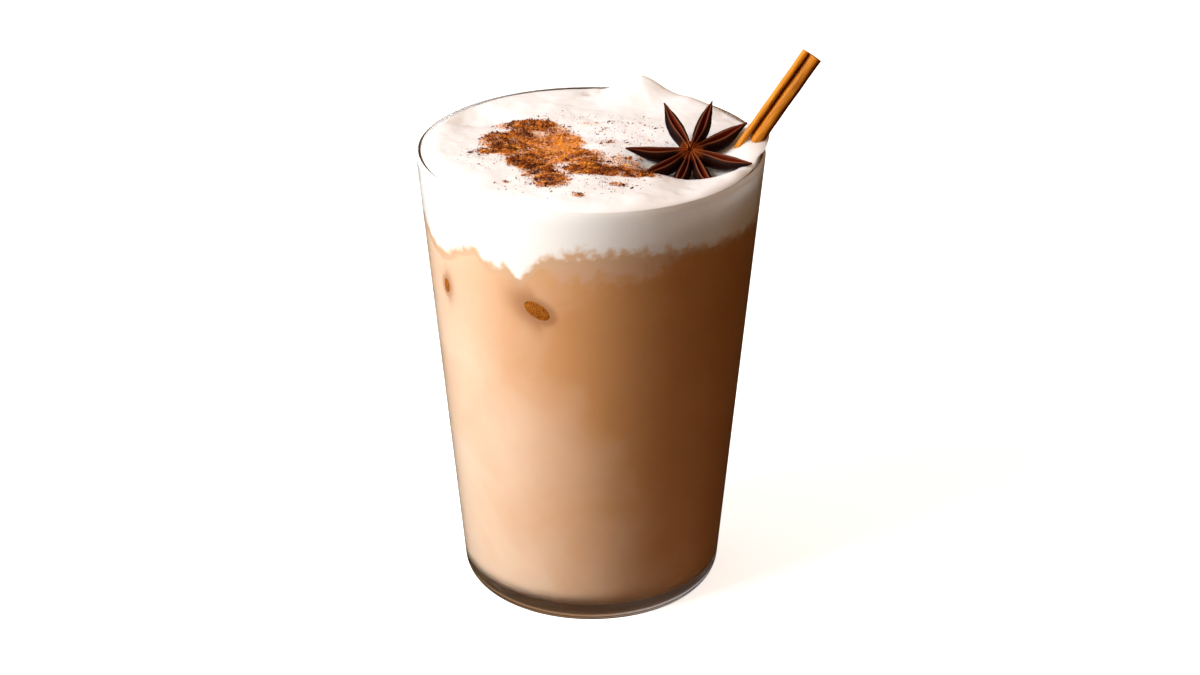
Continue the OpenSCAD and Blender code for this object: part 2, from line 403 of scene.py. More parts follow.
SETTINGS = {
    "chai_glass": GlassSettings,
    "chai_tea": TeaSettings,
    "chai_ice": IceSettings,
    "chai_foam": FoamSettings,
    "chai_powder": PowderSettings,
    "chai_quill": QuillSettings,
    "chai_star": StarSettings,
    "chai_studio": StudioSettings,
}


# ------------------------------------------------------------------ tumbler


# Points along the arcs of the tumbler's profile
HEEL_STEPS, RIM_STEPS, CORNER_STEPS = 16, 18, 12


def soda_lime_glass(tint):
    """Soda-lime glass, pressed and fire polished: clear and sharp in its reflections, with the faint
    waviness that pressing leaves. Shadows pass through it, as light does through a thin clear wall."""
    material, add = new_material("soda_lime_glass")
    place = add("TexCoord").outputs["Object"]
    wave = add("TexNoise", {"Vector": place, "Scale": 1 / (14 * MM), "Detail": 1.0})
    bump = add("Bump", {"Height": wave, "Strength": 0.06, "Distance": 0.4 * MM})
    clear = add("BsdfPrincipled", {
        "Base Color": tint, "Roughness": 0.01, "IOR": 1.5, "Transmission Weight": 1.0,
        "Normal": bump})
    shade = add("BsdfTransparent", {"Color": tint})
    in_shadow = add("LightPath").outputs["Is Shadow Ray"]
    mix = add("MixShader", {"Fac": in_shadow, 1: clear, 2: shade})
    add("OutputMaterial", {"Surface": mix})
    return material


class CHAI_OT_tumbler(Operator):
    """Turns the glass tumbler with its heel, half-round rim and thick floor"""

    bl_idname = "chai.tumbler"
    bl_label = "Tumbler"

    def execute(self, context):
        settings = context.scene.chai_glass
        rim_r = settings.wall / 2
        rim_z = GLASS.height - rim_r
        rim_middle = GLASS.outer_r(rim_z) - rim_r
        out_lean, in_lean = GLASS.lean(GLASS.outer), GLASS.lean(GLASS.inner)
        heel = corner_arc(GLASS.outer_r(settings.heel), out_lean, 0, settings.heel, HEEL_STEPS)
        round_over = np.linspace(-out_lean, math.pi - in_lean, RIM_STEPS)
        rim = np.stack([rim_middle + rim_r * np.cos(round_over), rim_z + rim_r * np.sin(round_over)], 1)
        side = GLASS.inner_r(GLASS.floor + settings.corner)
        inside = corner_arc(side, in_lean, GLASS.floor, settings.corner, CORNER_STEPS)[::-1]
        profile = np.vstack([[[0, 0]], heel, rim, inside, [[0, GLASS.floor]]])
        tumbler = lathe("tumbler", profile, settings.sides, soda_lime_glass(settings.tint), sharp=40)
        dress(tumbler, "glass")
        return {"FINISHED"}


# ------------------------------------------------------------------ tea


# Azimuth of the front in degrees
FRONT = 270
# Long rises and falls of the line where tea meets foam: direction from the front in degrees, height in
# mm and spread in degrees
TEA_SWELLS = [(12, 1.5, 32), (90, -2, 45)]
# Milk tongues that hang down into the tea: direction from the front, drop in mm, and the width of
# their left and right flanks, in degrees
TONGUES = [(-64, 6, 13, 15), (-35, 4.8, 6, 8), (-25, 6, 7, 6), (118, 4, 9, 14), (171, 5, 12, 6)]
# Beige froth under the foam: its depth in mm, and the stretches where it is deeper, with their start
# and end from the front and their depth in mm
FROTH_DEPTH = 1.5
FROTH_BANDS = [(-21, 26, 7), (96, 112, 4), (185, 230, 5.5)]
# Such a stretch deepens over the first of these widths in degrees, and thins over the second one from
# the third before its end
FROTH_IN, FROTH_OUT, FROTH_EARLY = 13, 18, 6
# Rings of the tea: round its lower corner, up the glass and in over its surface under the foam
TEA_CORNER, TEA_SIDE, TEA_SURFACE = 8, 120, 12
# How far the tea goes on up past its line, behind the foam
TEA_PAST_LINE = 1 * MM
# The ice lies above this height
ICE_FROM = 70 * MM


def tea_line(az, settings):
    """Height of the ragged line on the glass where tea meets foam."""
    side = turn(az, FRONT)
    hang = np.zeros_like(side)
    for middle, drop, left, right in TONGUES:
        away = turn(side, middle)
        hang = np.maximum(hang, drop * bell(away / np.where(away < 0, left, right)))
    around = round_points(MOUTH_R, az, 0)
    ragged = rough(around, 7 * MM, 5, seed=3) + 0.6 * rough(around, 1.6 * MM, 3, seed=7)
    return settings.level + (lifted(side, TEA_SWELLS) - hang) * MM + ragged * settings.wave


def froth_depth(az):
    """Depth of the beige froth under the foam's lower line."""
    side = turn(az, FRONT)
    depth = np.full_like(side, FROTH_DEPTH)
    for start, end, deep in FROTH_BANDS:
        into = turn(side, start)
        past = into - (end - start) + FROTH_EARLY
        share = smooth(into / FROTH_IN) * (1 - smooth(past / FROTH_OUT)) * (into > 0)
        depth = np.maximum(depth, deep * share)
    return depth * MM


def inward(ring, shares, level, az):
    """Rings at shares of a ring's distance from the axis, which level out towards the middle."""
    z = level + (ring[:, 2] - level) * shares ** 2
    return round_points(np.hypot(ring[:, 0], ring[:, 1]) * shares, az, z)


def milky_tea(settings):
    """Milky spiced tea over ice, barely stirred: stronger at the top and creamier below, with a beige froth
    under the foam and darker where it only films the ice. Painted shade deepens it towards +X, away from
    the key light, and painted light pales it towards -X, where the light stands. Light sinks a little way
    in and comes out warm."""
    material, add = new_material("milky_tea")
    place = add("TexCoord").outputs["Object"]
    parts = add("SeparateXYZ", {"Vector": place})
    drift = add("TexNoise", {"Vector": place, "Scale": 1 / (26 * MM), "Detail": 3.0, "Distortion": 0.8})
    sunk = add("MapRange", {
        "Value": parts.outputs["Z"], "From Min": 0.0, "From Max": 0.9 * GLASS.height, "To Min": 0.26,
        "To Max": -0.08})
    # Painted shade: the tea is drawn paler towards -X, where the key light stands, and deeper towards +X,
    # away from it
    painted_side_shade = add("MapRange", {
        "Value": parts.outputs["X"], "From Min": -MOUTH_R, "From Max": MOUTH_R, "To Min": 0.95,
        "To Max": 0.0})
    cloudy = add("MapRange", {
        "Value": drift, "From Min": 0.3, "From Max": 0.7, "To Min": -0.1, "To Max": 0.1})
    # The milk share mixes the settled milk and the clouds with this painted shade
    low = add("Math", {0: sunk, 1: painted_side_shade}, operation="ADD")
    milk = add("Math", {0: low, 1: cloudy}, operation="ADD")
    body = add("ValToRGB", {"Fac": milk}, stops=[
        (0.0, settings.strong_and_shaded), (0.48, settings.middle), (1.0, settings.milky)])
    fine = add("TexNoise", {"Vector": place, "Scale": 1 / (1.6 * MM), "Detail": 5.0})
    froth = add("Attribute", attribute_name="froth").outputs["Fac"]
    mottle = add("MapRange", {
        "Value": fine, "From Min": 0.3, "From Max": 0.7, "To Min": -0.16, "To Max": 0.16})
    frothy = add("Math", {0: froth, 1: mottle}, operation="ADD")
    share = add("MapRange", {"Value": frothy}, interpolation_type="SMOOTHSTEP")
    foamed = add("Mix", {"Factor": share, 6: body, 7: settings.froth}, data_type="RGBA")
    thin = add("Attribute", attribute_name="thin").outputs["Fac"]
    colour = add("Mix", {"Factor": thin, 6: foamed, 7: settings.halo}, data_type="RGBA")
    shader = add("BsdfPrincipled", {
        "Base Color": colour, "Roughness": 0.35, "Specular IOR Level": 0.2, "Subsurface Weight": 0.35,
        "Subsurface Radius": (1.0, 0.5, 0.3), "Subsurface Scale": 5 * MM})
    add("OutputMaterial", {"Surface": shader})
    return material


class CHAI_OT_tea(Operator):
    """Pours the milky tea up to its ragged line under the foam"""

    bl_idname = "chai.tea"
    bl_label = "Milky tea"

    def execute(self, context):
        settings, glass = context.scene.chai_tea, context.scene.chai_glass
        az = azimuths(settings.sides)
        line = tea_line(az, settings)
        floor = GLASS.floor - glass.reach
        side_r = GLASS.inner_r(floor + glass.corner) + glass.reach
        corner = corner_arc(side_r, GLASS.lean(GLASS.inner), floor, glass.corner, TEA_CORNER)
        bottom = round_points(corner[:, :1], az, corner[:, 1:])
        # The rings of the side stand closer together towards the line
        steps = np.linspace(0, 1, TEA_SIDE)[1:, None]
        start = corner[-1, 1]
        z = start + (line + TEA_PAST_LINE - start) * steps * (1.6 - 0.6 * steps)
        side = round_points(GLASS.inner_r(z) + glass.reach, az, z)
        shares = np.linspace(0.97, 0.05, TEA_SURFACE)[:, None]
        surface = inward(side[-1], shares, settings.level, az)
        rings = np.concatenate([bottom, side, surface])
        deep = (line - rings[..., 2]) / froth_depth(az)
        froth = 1 - smooth((deep + 0.3 * rough(rings, 3 * MM, 5, seed=9) - 0.1) / 1.3)
        froth *= 1 - 0.55 * smooth((turn(az, FRONT) - 8) / 30)
        thin = np.zeros(rings.shape[:2])
        near = (rings[..., 2] > ICE_FROM) & (rings[..., 1] < 0)
        ice = search_tree(*ice_shape(context.scene.chai_ice))
        thin[near] = [thin_over(ice, p) for p in rings[near]]
        marks = {"froth": froth, "thin": thin}
        ends = [(0, 0, floor), (0, 0, settings.level)]
        tea = ring_piece("milky_tea", rings, ends, milky_tea(settings), marks, sharp=60)
        dress(tea, "chai")
        return {"FINISHED"}


# ------------------------------------------------------------------ ice


# Where the cube touches the glass: direction from the front and height in mm, half width and half
# height of the touching spot in mm, and its tilt in degrees
ICE_SPOTS = [(-19, 89.2, 2.8, 1.6, -30), (-61.8, 87.7, 1.0, 1.6, -12)]
# How far the cube's edge stood out past the spots before it melted, and how far the spots press into
# the wall
ICE_PAST_SPOTS = 8 * MM
ICE_IN_WALL = 0.25 * MM
# Round a spot the ice stays on the wall to this many spot sizes, and melts back from it by this much
# for each spot size up to the deepest melt
SPOT_SKIRT = 1.6
MELT, DEEPEST_MELT = 0.6 * MM, 4.5 * MM
# Points along an edge of the cube
ICE_POINTS = 56


def spot_distance(points):
    """Distance from the nearest touching spot, in spot sizes: 1 on its edge."""
    az = np.degrees(np.arctan2(points[..., 1], points[..., 0]))
    nearest = np.full(points.shape[:-1], np.inf)
    for side, z, wide, tall, tilt in ICE_SPOTS:
        across = np.radians(turn(az, FRONT + side)) * GLASS.inner_r(z * MM)
        across, up = rotated(across, points[..., 2] - z * MM, -math.radians(tilt))
        nearest = np.minimum(nearest, np.hypot(across / wide, up / tall) / MM)
    return nearest


def gridded_cube(steps):
    """Points of a cube from -1 to 1, side after side with steps points along an edge, and its faces."""
    u, v = np.meshgrid(*[np.linspace(-1, 1, steps)] * 2, indexing="ij")
    points, faces = [], []
    for axis in range(3):
        for sign in (-1, 1):
            first = len(points) * steps * steps
            side = [u, v] if sign > 0 else [v, u]
            side.insert(axis, np.full_like(u, sign))
            points.append(np.stack(side, -1))
            for i in range(steps - 1):
                for j in range(steps - 1):
                    a = first + i * steps + j
                    face = (a, a + steps, a + steps + 1, a + 1)
                    faces.append(face[::-1] if axis == 1 else face)
    return np.array(points).reshape(-1, 3), faces


def ice_shape(settings):
    """Points and faces of the half melted cube: one edge bridges the two spots on the glass, and it
    has melted back from the wall between and around them."""
    cube, faces = gridded_cube(ICE_POINTS)
    half = settings.edge / 2
    core = half - settings.round
    inner = np.clip(cube * half, -core, core)
    away = cube * half - inner
    size = np.maximum(np.linalg.norm(away, axis=1, keepdims=True), 1e-9)
    rounded = inner + away / size * settings.round
    spots = [round_points(GLASS.inner_r(z * MM), FRONT + side, z * MM) for side, z, *_ in ICE_SPOTS]
    along = spots[0] - spots[1]
    along /= np.linalg.norm(along)
    outward = (spots[0] + spots[1]) / 2
    outward[2] = 0
    outward -= along * np.dot(outward, along)
    outward /= np.linalg.norm(outward)
    up = np.cross(along, outward)
    diagonal = math.sqrt(0.5)
    turned = np.stack([along, (outward + up) * diagonal, (up - outward) * diagonal])
    middle = (spots[0] + spots[1]) / 2 - outward * (half / diagonal - ICE_PAST_SPOTS)
    points = rounded @ turned + middle
    bulge = 1 + 0.03 * rough(points, 9 * MM, 2, seed=5)
    points = middle + (points - middle) * bulge[:, None]
    r = np.hypot(points[:, 0], points[:, 1])
    off_spot = spot_distance(points)
    melted = np.minimum(MELT * np.maximum(0, off_spot - 1), DEEPEST_MELT)
    limit = GLASS.inner_r(points[:, 2]) + ICE_IN_WALL - melted
    new_r = np.where(off_spot < SPOT_SKIRT, limit, np.minimum(r, limit))
    points[:, :2] *= (new_r / r)[:, None]
    return points, faces


def thin_over(ice, point):
    """How dark the tea looks for being thin over the ice, from 0 to 1."""
    reach, fade = 5 * MM, 1 * MM
    distance = ice.find_nearest(Vector(point), reach)[3]
    return 0.0 if distance is None else 0.7 * bell(distance / fade)


def clear_ice(settings):
    """A cube of clear ice, frozen and half melted: its cracks catch the light in a fine net, and the
    tea behind it turns it amber."""
    material, add = new_material("clear_ice")
    place = add("TexCoord").outputs["Object"]
    net = add("TexVoronoi", {"Vector": place, "Scale": 1 / (0.6 * MM)}, feature="DISTANCE_TO_EDGE")
    crack = add("ValToRGB", {"Fac": net}, stops=[
        (0.0, settings.light), (0.08, settings.light), (0.3, settings.dark)])
    shader = add("BsdfPrincipled", {
        "Base Color": crack, "Roughness": 0.12, "IOR": 1.31, "Coat Weight": 0.3})
    add("OutputMaterial", {"Surface": shader})
    return material


class CHAI_OT_ice(Operator):
    """Sinks the half melted ice cube, which touches the glass at two spots"""

    bl_idname = "chai.ice"
    bl_label = "Ice cube"

    def execute(self, context):
        settings = context.scene.chai_ice
        points, faces = ice_shape(settings)
        cube = new_piece("ice_cube", points, faces, material=clear_ice(settings))
        weld(cube)
        dress(cube, None)
        return {"FINISHED"}


# ------------------------------------------------------------------ foam


# Swells and hollows of the foam's top: direction, distance from the axis as a share of the mouth's
# radius, height and spread in mm
SWELLS = [
    (70, 0.92, 5.2, 7), (47, 0.9, 1.6, 7), (3, 0.95, 4.4, 5.5), (124, 0.18, -1.2, 9),
    (80, 0.88, -2.2, 1.7), (85, 0.91, -1.8, 1.9), (74, 0.84, -1.4, 1.8), (90, 0.87, -1.2, 2.2),
    (143, 0.86, -2.4, 8), (209, 0.7, 0.8, 8), (270, 0.69, 0.6, 10)]
# Hollows and lips that the star has pressed, from its middle: across, back, height and spread in mm
PRESSED = [(0, -2, -5.4, 8), (9, -3, -2.4, 5), (-9, -4, -1.8, 5), (0, -17, -1.3, 6), (-9, -13, 0.5, 3),
           (12, -9, 0.5, 3)]
# Places where the foam meets the glass higher: direction, height in mm and spread in degrees
EDGE_SWELLS = [(4, 4.2, 15), (130, 1.1, 70), (45, 0.9, 22), (205, 0.7, 35), (305, 0.6, 30)]
# The heap that hangs over the rim beside the quill: direction and spread in degrees, and how far it
# hangs over and back from the glass
HEAP_AZ, HEAP_SPREAD = 3, 13
HEAP_OVER, HEAP_BACK = 2.4 * MM, 3 * MM
# Rings of the foam's underside and of its side
FOAM_UNDER, FOAM_SIDE = 10, 24
# The foam reaches this much further into the wall than the tea does, and its underside lies this much
# below the tea's surface
FOAM_PAST_TEA = 0.03 * MM
FOAM_IN_TEA = 0.3 * MM


def edge_height(az, settings):
    """Height of the line where the foam's top meets the glass."""
    lift = 0.3 * np.sin(np.radians(3 * az + 40)) + lifted(az, EDGE_SWELLS)
    return GLASS.height - settings.edge_drop + lift * MM


def swell(x, y):
    """Height of the swells and hollows at a place, with those that the star has pressed."""
    places = [(*round_points(share * MOUTH_R, az, 0)[:2], up, wide) for az, share, up, wide in SWELLS]
    places += [(STAR_MIDDLE.x + dx * MM, STAR_MIDDLE.y + dy * MM, up, wide) for dx, dy, up, wide in PRESSED]
    total = np.zeros(np.shape(x))
    for px, py, up, wide in places:
        total += up * bell(np.hypot(x - px, y - py) / (wide * MM))
    return total * MM


def milk_foam(settings):
    """Steamed milk foam, spooned on: matt, very white and finely bubbled, soft in its shadows
    because light spreads under its skin, creamier at its tea-stained underside."""
    material, add = new_material("milk_foam")
    place = add("TexCoord").outputs["Object"]
    cloud = add("TexNoise", {"Vector": place, "Scale": 1 / (2.4 * MM), "Detail": 6.0})
    above = add("Attribute", attribute_name="above").outputs["Fac"]
    edge = add("MapRange", {
        "Value": cloud, "From Min": 0.3, "From Max": 0.7, "To Min": -0.45, "To Max": 0.35})
    lift = add("Math", {0: above, 1: edge}, operation="ADD")
    share = add("MapRange", {"Value": lift}, interpolation_type="SMOOTHSTEP")
    white = add("Mix", {"Factor": share, 6: settings.low, 7: settings.white}, data_type="RGBA")
    stain = add("Attribute", attribute_name="stain").outputs["Fac"]
    grain = add("TexNoise", {"Vector": place, "Scale": 1 / (1.1 * MM), "Detail": 6.0, "Roughness": 0.65})
    patchy = add("MapRange", {
        "Value": grain, "From Min": 0.35, "From Max": 0.65, "To Min": 0.5, "To Max": 1.25})
    tinted = add("Math", {0: stain, 1: patchy}, operation="MULTIPLY", use_clamp=True)
    colour = add("Mix", {"Factor": tinted, 6: white, 7: settings.stain}, data_type="RGBA")
    bubbles = add("TexVoronoi", {"Vector": place, "Scale": 1 / (0.7 * MM)})
    bump = add("Bump", {"Height": bubbles, "Strength": 0.25, "Distance": 0.06 * MM})
    shader = add("BsdfPrincipled", {
        "Base Color": colour, "Roughness": 0.55, "Specular IOR Level": 0.3, "Normal": bump,
        "Subsurface Weight": 0.3, "Subsurface Radius": (1.0, 0.9, 0.8), "Subsurface Scale": 3 * MM})
    add("OutputMaterial", {"Surface": shader})
    return material


class CHAI_OT_foam(Operator):
    """Spoons the milk foam onto the tea, up to its heaped and folded top"""

    bl_idname = "chai.foam"
    bl_label = "Milk foam"

    def execute(self, context):
        settings, tea = context.scene.chai_foam, context.scene.chai_tea
        az = azimuths(settings.sides)
        line = tea_line(az, tea)
        reach = context.scene.chai_glass.reach + FOAM_PAST_TEA
        edge = edge_height(az, settings)
        side_z = line + (edge - line) * np.linspace(0, 1, FOAM_SIDE)[:, None]
        side = round_points(GLASS.inner_r(side_z) + reach, az, side_z)
        level = tea.level - FOAM_IN_TEA
        under = inward(side[0], np.linspace(0.05, 0.98, FOAM_UNDER)[:, None], level, az)
        top = self.top(az, edge, reach, settings)
        rings = np.concatenate([under, side, top])
        above = np.clip((rings[..., 2] - line) / (2 * MM + 0.3 * froth_depth(az)), 0, 1.6)
        stain = np.zeros(rings.shape[:2])
        x, y = top[..., 0], top[..., 1]
        stain[-len(top):] = (0.7 + 0.3 * lightly(x, y)) * smooth((powder_density(x, y) - 0.15) / 0.7)
        marks = {"above": above, "stain": stain}
        ends = [(0, 0, level), (0, 0, top[-1, :, 2].mean())]
        foam = ring_piece("milk_foam", rings, ends, milk_foam(settings), marks, sharp=60)
        dress(foam, "foam")
        return {"FINISHED"}

    def top(self, az, edge, reach, settings):
        """Rings of the foam's top from the glass to the middle: a rounded shoulder, swells, folds and
        fine lumps, and the heap that hangs over the rim beside the quill."""
        edge_r = GLASS.inner_r(edge) + reach
        r = edge_r * (1 - np.linspace(0, 1, settings.rings + 1)[1:-1, None] ** 1.15)
        flat = round_points(r, az, 0)
        from_edge = edge_r - r
        shoulder = np.sqrt(1 - (1 - np.clip(from_edge / settings.shoulder, 0, 1)) ** 2)
        crown = GLASS.height + settings.rise + swell(flat[..., 0], flat[..., 1])
        z = edge + (crown - edge) * shoulder
        fade = smooth(from_edge / (3 * MM))
        z += fade * 0.55 * MM * rough(flat, 11 * MM, 2, seed=1)
        z += fade * 0.16 * MM * rough(flat, 3.4 * MM, 2, seed=2)
        over = bell(turn(az, HEAP_AZ) / HEAP_SPREAD) * smooth((z - GLASS.height) / (1.2 * MM))
        r = r + over * HEAP_OVER * bell(from_edge / HEAP_BACK)
        return round_points(r, az, z)


# ------------------------------------------------------------------ ground cinnamon


# Clouds of ground cinnamon on the foam: place in mm, half length and half width in mm, turn in
# degrees and share of cover
DUST = [
    (-15, 13, 8.5, 4, -6, 1.0), (-22, 2, 5.5, 6, 10, 0.9), (-17, 4, 4.5, 7, 0, 1.0),
    (-24, -4.5, 4, 2.2, 0, 0.85), (-8.5, 1, 6.5, 10.5, 0, 0.8), (-6, 6, 4, 6, 20, 0.45),
    (-5, -5, 4.5, 4.5, 0, 0.62), (-13, -13, 5, 9, 6, 1.0), (-18.5, -11, 1.8, 5.5, 0, 0.85),
    (-9, -24, 4.5, 5.5, 10, 0.9), (-1, -16.5, 6, 4.5, 0, 1.0), (8, -18, 8.5, 3.8, -6, 0.7),
    (8, -11.5, 7, 5, 0, 0.45), (-8.5, -9, 5, 4, 0, 0.85), (-3.5, -8, 7, 5.5, 0, 0.8),
    (-18, -4, 5, 6, 0, 0.75), (7, -21, 10, 0.9, -3, 0.7), (-5, 7, 5, 0.6, -50, 0.8),
    (-3, 4.5, 4.5, 0.5, -58, 0.7), (1, 15, 5, 0.5, 5, 0.3), (-3, -33.5, 1.6, 1.2, 0, 0.8),
    (6.5, -27, 1.8, 1.4, 0, 0.5), (4.5, 3, 2.2, 2, 0, 0.35), (-29, -6, 0.7, 0.6, 0, 0.9),
    (-20, -24, 0.7, 0.6, 0, 0.9), (3, 11, 2.5, 1.5, 0, 0.2), (10, 6, 12, 13, 0, 0.07),
    (-4, -26, 18, 9, 0, 0.08), (-24, -8, 8, 10, 0, 0.06), (-6, 19, 9, 3, 0, 0.06)]
# Area in which grains are tried, across and back in mm, how many are tried at a time, and the share of
# the mouth's radius within which they stay
DUST_ACROSS, DUST_BACK = (-34, 26), (-37, 27)
TRIES = 4000
DUST_REACH = 0.93
# The lighter stretch of the dusting: its middle and its half widths in mm
LIGHT_X, LIGHT_Y, LIGHT_WIDE, LIGHT_DEEP = -7.5, -0.5, 7, 9


def powder_density(x, y):
    """Share of the foam covered by ground cinnamon at a place, from 0 to 1."""
    clear = np.ones(np.shape(x))
    for px, py, long, wide, turned, cover in DUST:
        along, across = rotated(x / MM - px, y / MM - py, -math.radians(turned))
        away = np.hypot(along / long, across / wide)
        clear *= 1 - cover * (1 - smooth((away - 0.55) / 0.75))
    return 1 - clear


def lightly(x, y):
    """How much lighter the dusting is at a place, from 0 to 1: thin and bright where it is 1."""
    return bell(np.hypot((x / MM - LIGHT_X) / LIGHT_WIDE, (y / MM - LIGHT_Y) / LIGHT_DEEP))


def ground_cinnamon(name, settings):
    """Ground cinnamon bark, milled: matt angular grains and shreds from dark brown to bright orange."""
    material, add = new_material(name)
    tint = add("Attribute", attribute_name="tint").outputs["Fac"]
    colour = add("ValToRGB", {"Fac": tint}, stops=[
        (0.0, settings.dark), (0.5, settings.mid), (1.0, settings.light)])
    shader = add("BsdfPrincipled", {"Base Color": colour, "Roughness": 0.8, "Specular IOR Level": 0.2})
    add("OutputMaterial", {"Surface": shader})
    return material


def grain_places(count, chance):
    """Places of the grains on the foam, clumped at random: across, back and the cover there."""
    places = []
    while len(places) < count:
        x, y = [chance.uniform(low * MM, high * MM, TRIES) for low, high in (DUST_ACROSS, DUST_BACK)]
        flat = np.stack([0.6 * x, y, np.zeros(TRIES)], -1)
        cover = powder_density(x, y)
        lump = rough(flat, 3 * MM, 2, seed=8) + 0.9 * rough(flat, 0.8 * MM, 3, seed=13)
        clumped = cover * smooth((cover + 0.9 * lump - 0.12) / 0.95)
        keep = chance.random(TRIES) < np.maximum(clumped, 0.25 * cover) * (1 - 0.72 * lightly(x, y))
        keep &= np.hypot(x, y) < DUST_REACH * MOUTH_R
        places += list(zip(x[keep], y[keep], cover[keep]))
    return np.array(places[:count])


def grain_shapes(count, size, stretch, chance):
    """Corners of the grains, each an uneven octahedron, tipped and spun at random."""
    corner = np.array([(1, 0, 0), (-1, 0, 0), (0, 1, 0), (0, -1, 0), (0, 0, 1), (0, 0, -1)], float)
    uneven = corner * chance.uniform(0.6, 1.15, (count, 6, 1))
    half = size / 2 * np.exp(chance.normal(0, 0.28, (count, 1, 1)))
    x, y, z = np.moveaxis(uneven * half * np.array([stretch, 1, 0.6]), -1, 0)
    spin, tip = chance.uniform(0, 2 * math.pi, (count, 1)), chance.normal(0, 0.5, (count, 1))
    x, z = rotated(x, z, tip)
    x, y = rotated(x, y, spin)
    return np.stack([x, y, z], -1)


# Faces of a grain, from its six corners
OCTAHEDRON = [(0, 2, 4), (2, 1, 4), (1, 3, 4), (3, 0, 4), (2, 0, 5), (1, 2, 5), (3, 1, 5), (0, 3, 5)]


def scatter(name, count, size, stretch, seed, settings, foam):
    """Grains lying on the foam as one mesh. stretch is a grain's length over its width."""
    chance = np.random.default_rng(seed)
    places = grain_places(count, chance)
    x, y, cover = places.T
    points = grain_shapes(count, size, stretch, chance)
    points[..., :2] += places[:, None, :2]
    above = 2 * GLASS.height
    drop = [foam.ray_cast(Vector((*place, above)), Vector((0, 0, -1)))[0].z for place in places[:, :2]]
    pile = cover * chance.random(count) ** 2 * 0.5 * MM
    points[..., 2] += (drop + pile)[:, None]
    faces = (np.array(OCTAHEDRON) + 6 * np.arange(count)[:, None, None]).reshape(-1, 3)
    streak = rough(places * np.array([0.6, 1, 0]), 1.3 * MM, 3, seed=12)
    mean = 0.08 + 0.25 * smooth(cover / 0.4) + 0.6 * lightly(x, y) + 0.7 * streak
    tint = np.repeat(np.clip(mean + chance.normal(0, 0.2, count), 0, 1), 6)
    material = ground_cinnamon(name, settings)
    piece = new_piece(name, points.reshape(-1, 3), faces.tolist(), {"tint": tint}, material)
    piece.data.polygons.foreach_set("use_smooth", [False] * len(faces))
    dress(piece, None)


class CHAI_OT_powder(Operator):
    """Dusts the foam with fine and coarse ground cinnamon"""

    bl_idname = "chai.powder"
    bl_label = "Ground cinnamon"

    def execute(self, context):
        settings = context.scene.chai_powder
        foam = mesh_tree(bpy.data.objects["milk_foam"].data)
        fine = ("cinnamon_powder_fine", settings.fine_count, settings.fine, 1.5)
        coarse = ("cinnamon_powder_coarse", settings.coarse_count, settings.coarse, 2.2)
        for seed, (name, count, size, stretch) in enumerate((fine, coarse), SEED):
            scatter(name, count, size, stretch, seed, settings, foam)
        return {"FINISHED"}


# ------------------------------------------------------------------ cinnamon quill


# Stations along the quill, how much the two rolls press into each other, and the degrees that each
# of them turns from the back of the quill
STATIONS = 150
ROLL_PRESS = 0.12 * MM
SMALL_SWEEP, LARGE_SWEEP = 235, 400


def quill_frame():
    """Foot of the stick, its across, through and along directions, its length and half its width,
    measured on its CAD node, whose points all lie in its two ends."""
    points = np.array([v.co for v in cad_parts["cinnamon_stick"].data.vertices], float)
    upper = points[:, 2] > points[:, 2].mean()
    along = points[upper].mean(0) - points[~upper].mean(0)
    along /= np.linalg.norm(along)
    end = points[upper] - points[upper].mean(0)
    end -= np.outer(end @ along, along)
    across = np.linalg.svd(end, full_matrices=False)[2][0]
    across *= np.sign(across[0])
    axes = np.stack([across, np.cross(along, across), along])
    local = points @ axes.T
    low, high = local.min(0), local.max(0)
    foot = np.array([(low[0] + high[0]) / 2, (low[1] + high[1]) / 2, low[2]]) @ axes
    return foot, axes, high[2] - low[2], (high[0] - low[0]) / 2


def curl(roll, sweep, side, half_w, settings):
    """Middle line of the bark from the back of a roll round its outside and in, about a point for every
    6 degrees."""
    turned = np.linspace(0, sweep, int(sweep / 6))
    r = roll - settings.bark / 2 - (settings.bark + settings.gap) * turned / 360
    a = np.radians(90 - side * turned)
    return np.stack([side * (half_w - roll) + r * np.cos(a), r * np.sin(a)], 1)


def cinnamon_bark(settings):
    """Cinnamon bark, rolled and dried: matt, finely fibrous along its length, orange tan, and dark brown
    between its fibres. Painted shade darkens it in its groove and on its side away from the key light, and
    it is also darker inside its rolls."""
    material, add = new_material("cinnamon_bark")
    place = add("Attribute", attribute_name="grain").outputs["Vector"]
    fibre = add("Mapping", {"Vector": place, "Scale": (1, 1, 0.06)})
    fine = add("TexNoise", {"Vector": fibre, "Scale": 1 / (0.35 * MM), "Detail": 6.0, "Roughness": 0.6})
    broad = add("TexNoise", {"Vector": fibre, "Scale": 1 / (1.6 * MM), "Detail": 2.0})
    both = add("Mix", {"Factor": 0.45, 2: fine, 3: broad})
    # deep carries painted shade in the groove and on the side away from the key light, and the darker
    # inside of the rolls
    deep = add("Attribute", attribute_name="deep").outputs["Fac"]
    share = add("Math", {0: both, 1: deep}, operation="SUBTRACT")
    colour = add("ValToRGB", {"Fac": share}, stops=[
        (0.0, settings.dark), (0.3, settings.dark), (0.58, settings.light)])
    bump = add("Bump", {"Height": both, "Strength": 0.5, "Distance": 0.12 * MM})
    shader = add("BsdfPrincipled", {
        "Base Color": colour, "Roughness": 0.65, "Specular IOR Level": 0.35, "Normal": bump})
    add("OutputMaterial", {"Surface": shader})
    return material


